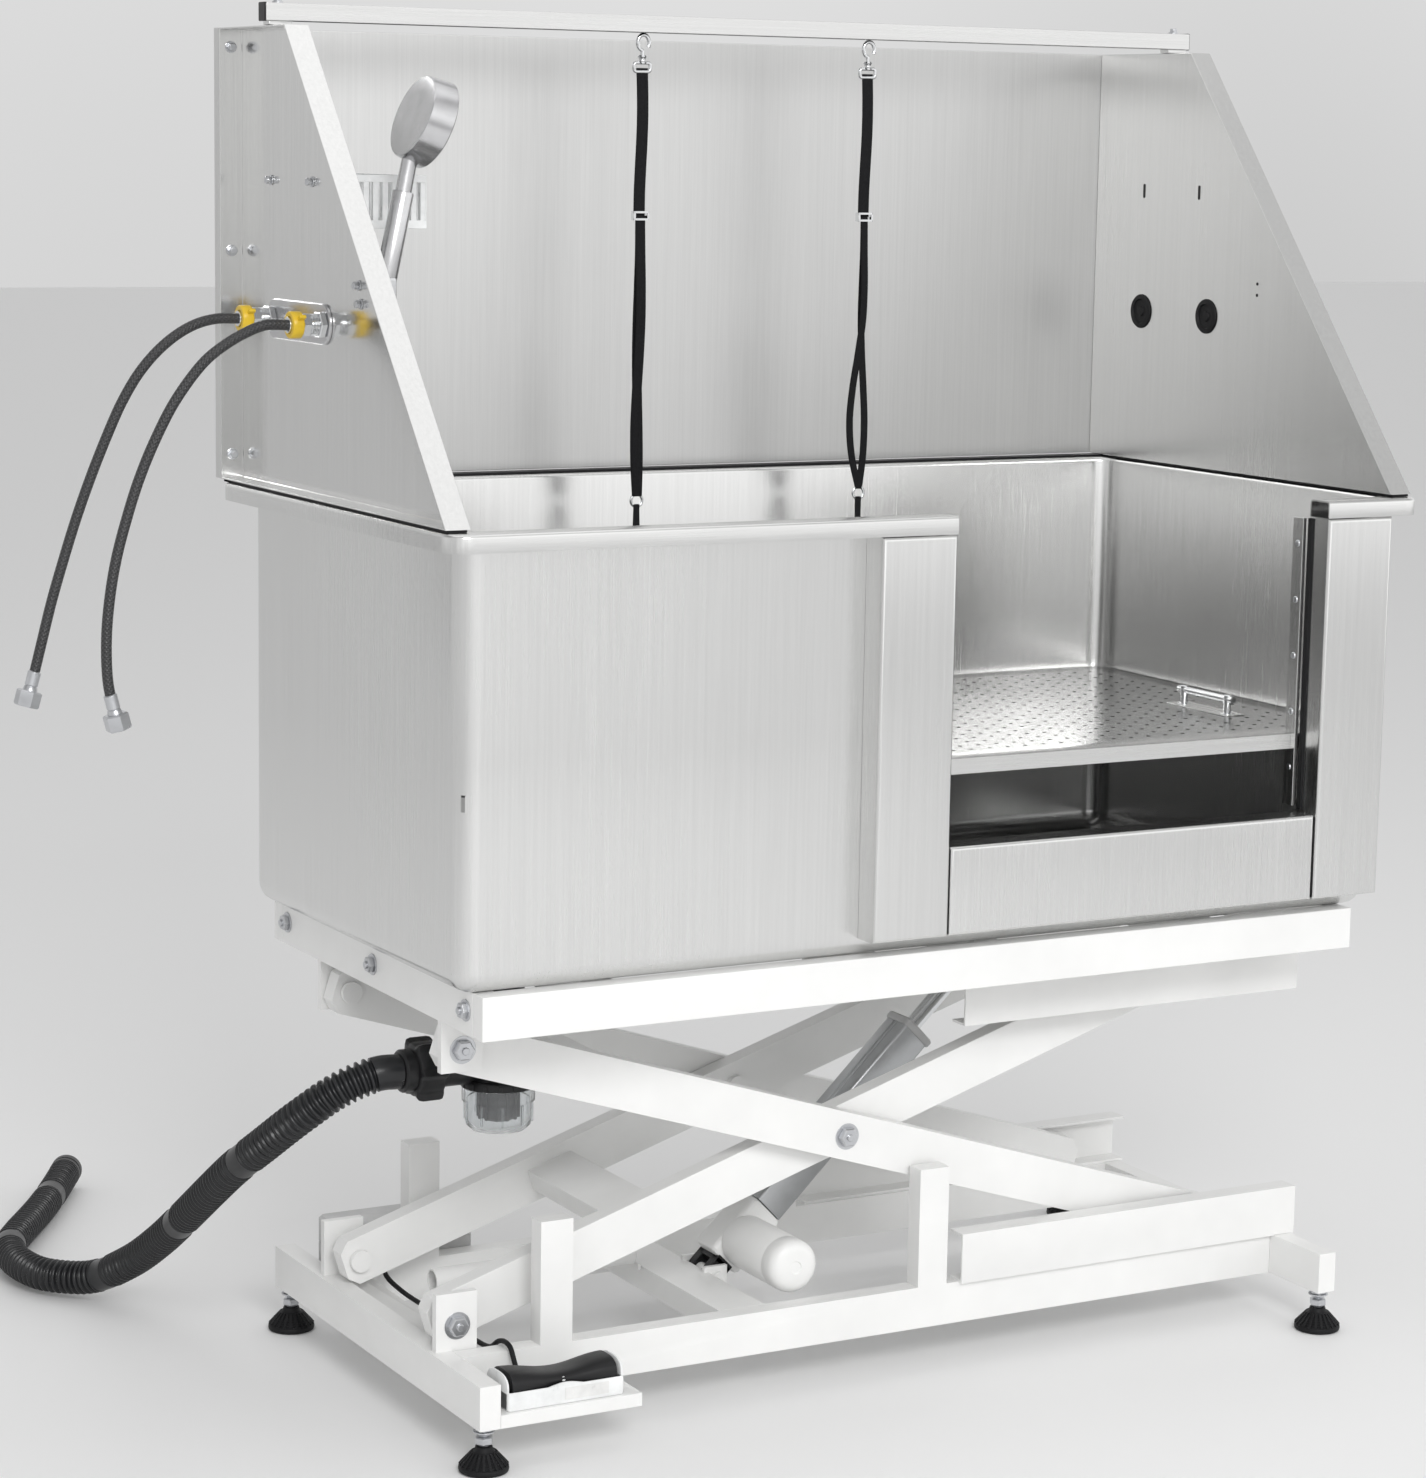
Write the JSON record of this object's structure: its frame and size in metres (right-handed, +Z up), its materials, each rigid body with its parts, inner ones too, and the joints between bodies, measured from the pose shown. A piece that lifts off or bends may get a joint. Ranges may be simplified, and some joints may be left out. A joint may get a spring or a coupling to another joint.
{
  "type": "pet bathtub",
  "caption": "Stainless dog grooming bathtub with splash panels, doorway, grate, taps, drain hose and an electric scissor lift base with foot pedal.",
  "frame": {"origin": "on the floor under the middle of the box of the object, measured without its hoses and straps", "axes": "+Z up, +X towards the right end of the tub, the door faces -Y"},
  "size_m": [1.5574, 1.3076, 1.579],
  "materials": {
    "stainless": "brushed stainless sheet, grain upright",
    "white_paint": "white powder coat",
    "zinc": "zinc plated steel",
    "chrome": "polished chrome",
    "aluminium": "anodised tube",
    "black_rubber": "moulded rubber",
    "black_plastic": "matt moulded plastic",
    "braided_hose": "black braided sleeve",
    "grey_plastic": "light grey moulded plastic",
    "white_plastic": "white moulded plastic",
    "clear_plastic": "clear moulded plastic",
    "webbing": "woven nylon webbing",
    "yellow_plastic": "yellow clamp"
  },
  "bodies": {
    "base": {"base_left_end": "white_paint", "base_right_end": "white_paint", "base_front_rail": "white_paint", "base_rear_rail": "white_paint", "base_mid_member": "white_paint", "base_bolt_front": "zinc", "pedal_housing": "grey_plastic", "pedal_lead": "black_plastic", "control_box": "grey_plastic"},
    "foot_front_left_body": {"foot_front_left": "black_rubber"},
    "foot_front_right_body": {"foot_front_right": "black_rubber"},
    "foot_rear_left_body": {"foot_rear_left": "black_rubber"},
    "foot_rear_right_body": {"foot_rear_right": "black_rubber"},
    "pedal": {"pedal_rocker": "black_plastic"},
    "inner_arms": {"inner_arm_front": "white_paint", "inner_arm_rear": "white_paint", "centre_bolt_front": "zinc"},
    "outer_arms": {"outer_arm_front": "white_paint", "outer_arm_rear": "white_paint"},
    "upper_front_roller": {"roller_upper_front": "black_plastic"},
    "upper_rear_roller": {"roller_upper_rear": "black_plastic"},
    "lower_front_roller": {"roller_lower_front": "black_plastic"},
    "lower_rear_roller": {"roller_lower_rear": "black_plastic"},
    "actuator": {"actuator_motor": "white_paint", "actuator_tube": "aluminium"},
    "ram": {"actuator_rod": "chrome"},
    "platform": {"platform_front": "white_paint", "platform_rear": "white_paint", "platform_left": "white_paint", "platform_right": "white_paint", "platform_cross_frame": "white_paint", "platform_bolt_front": "zinc", "tub_floor": "stainless", "tub_front_wall": "stainless", "tub_back_wall": "stainless", "tub_left_wall": "stainless", "tub_right_wall": "stainless", "door_surround": "stainless", "splash_left": "stainless", "splash_right": "stainless", "splash_back": "stainless", "overhead_bar": "stainless", "strap_left": "webbing", "strap_right": "webbing", "water_inlets": "chrome", "supply_hose_rear": "braided_hose", "supply_hose_front": "braided_hose", "hose_nut_rear": "zinc", "hose_nut_front": "zinc", "mixer_body": "chrome", "handset_holder": "chrome", "shower_hose": "chrome", "soap_basket": "white_plastic", "drain_trap": "black_plastic", "drain_cup": "clear_plastic", "drain_hose": "black_plastic"},
    "mixer_handle": {"mixer_lever": "chrome"},
    "handset": {"shower_handset": "chrome"},
    "grate": {"floor_grate": "stainless"},
    "hose_run": {"drain_hose_floor": "black_plastic"}
  },
  "joints": [
    {"name": "lift", "type": "hinge", "parent": "base", "child": "inner_arms", "pos_m": [-0.551, -0.0165, 0.128], "axis": [0, -1, 0], "range_deg": [-9, 9]},
    {"name": "scissor_centre", "type": "hinge", "parent": "inner_arms", "child": "outer_arms", "pos_m": [-0.05003, -0.0165, 0.2865], "axis": [0, -1, 0], "range_deg": [-19, 19]},
    {"name": "platform_pivot", "type": "hinge", "parent": "outer_arms", "child": "platform", "pos_m": [-0.551, -0.0165, 0.445], "axis": [0, -1, 0], "range_deg": [-10, 10]},
    {"name": "upper_front_roller_spin", "type": "hinge", "parent": "inner_arms", "child": "upper_front_roller", "pos_m": [0.45095, -0.1985, 0.445], "axis": [0, 1, 0], "continuous": true},
    {"name": "upper_rear_roller_spin", "type": "hinge", "parent": "inner_arms", "child": "upper_rear_roller", "pos_m": [0.45095, 0.1655, 0.445], "axis": [0, 1, 0], "continuous": true},
    {"name": "lower_front_roller_spin", "type": "hinge", "parent": "outer_arms", "child": "lower_front_roller", "pos_m": [0.45095, -0.1985, 0.128], "axis": [0, 1, 0], "continuous": true},
    {"name": "lower_rear_roller_spin", "type": "hinge", "parent": "outer_arms", "child": "lower_rear_roller", "pos_m": [0.45095, 0.1655, 0.128], "axis": [0, 1, 0], "continuous": true},
    {"name": "actuator_pivot", "type": "hinge", "parent": "base", "child": "actuator", "pos_m": [-0.148, -0.0165, 0.092], "axis": [0, -1, 0], "range_deg": [-15, 15]},
    {"name": "ram_pivot", "type": "hinge", "parent": "inner_arms", "child": "ram", "pos_m": [0.21588, -0.0165, 0.44217], "axis": [0, -1, 0], "range_deg": [-6, 6]},
    {"name": "pedal_rock", "type": "hinge", "parent": "base", "child": "pedal", "pos_m": [-0.48, -0.2745, 0.085], "axis": [0, 1, 0], "range_deg": [-6, 6], "stiffness_Nm_per_rad": 3},
    {"name": "mixer_turn", "type": "hinge", "parent": "platform", "child": "mixer_handle", "pos_m": [-0.566, 0.1405, 1.254], "axis": [0, 0, 1], "range_deg": [-45, 45]},
    {"name": "handset_tilt", "type": "hinge", "parent": "platform", "child": "handset", "pos_m": [-0.577, -0.0285, 1.262], "axis": [0, 1, 0], "range_deg": [0, 10]},
    {"name": "grate_lift", "type": "slide", "parent": "platform", "child": "grate", "axis": [0, 0, 1], "range_m": [0, 0.12]},
    {"name": "hose_sag", "type": "slide", "parent": "platform", "child": "hose_run", "axis": [0, 0, 1], "range_m": [-0.165, 0.165], "deforming": ["drain_hose"]},
    {"name": "foot_front_left_screw", "type": "hinge", "parent": "base", "child": "foot_front_left_body", "pos_m": [-0.5705, -0.2925, 0.03], "axis": [0, 0, 1], "continuous": true},
    {"name": "foot_front_right_screw", "type": "hinge", "parent": "base", "child": "foot_front_right_body", "pos_m": [0.5625, -0.2925, 0.03], "axis": [0, 0, 1], "continuous": true},
    {"name": "foot_rear_left_screw", "type": "hinge", "parent": "base", "child": "foot_rear_left_body", "pos_m": [-0.5705, 0.2555, 0.03], "axis": [0, 0, 1], "continuous": true},
    {"name": "foot_rear_right_screw", "type": "hinge", "parent": "base", "child": "foot_rear_right_body", "pos_m": [0.5625, 0.2555, 0.03], "axis": [0, 0, 1], "continuous": true}
  ],
  "couplings": [
    {"joint": "scissor_centre", "follows": "lift", "ratio": -2},
    {"joint": "platform_pivot", "follows": "lift", "ratio": 1},
    {"joint": "actuator_pivot", "follows": "lift", "ratio": 1.525},
    {"joint": "ram_pivot", "follows": "lift", "ratio": 0.525},
    {"joint": "hose_sag", "follows": "lift", "m_per_rad": -1.002}
  ]
}
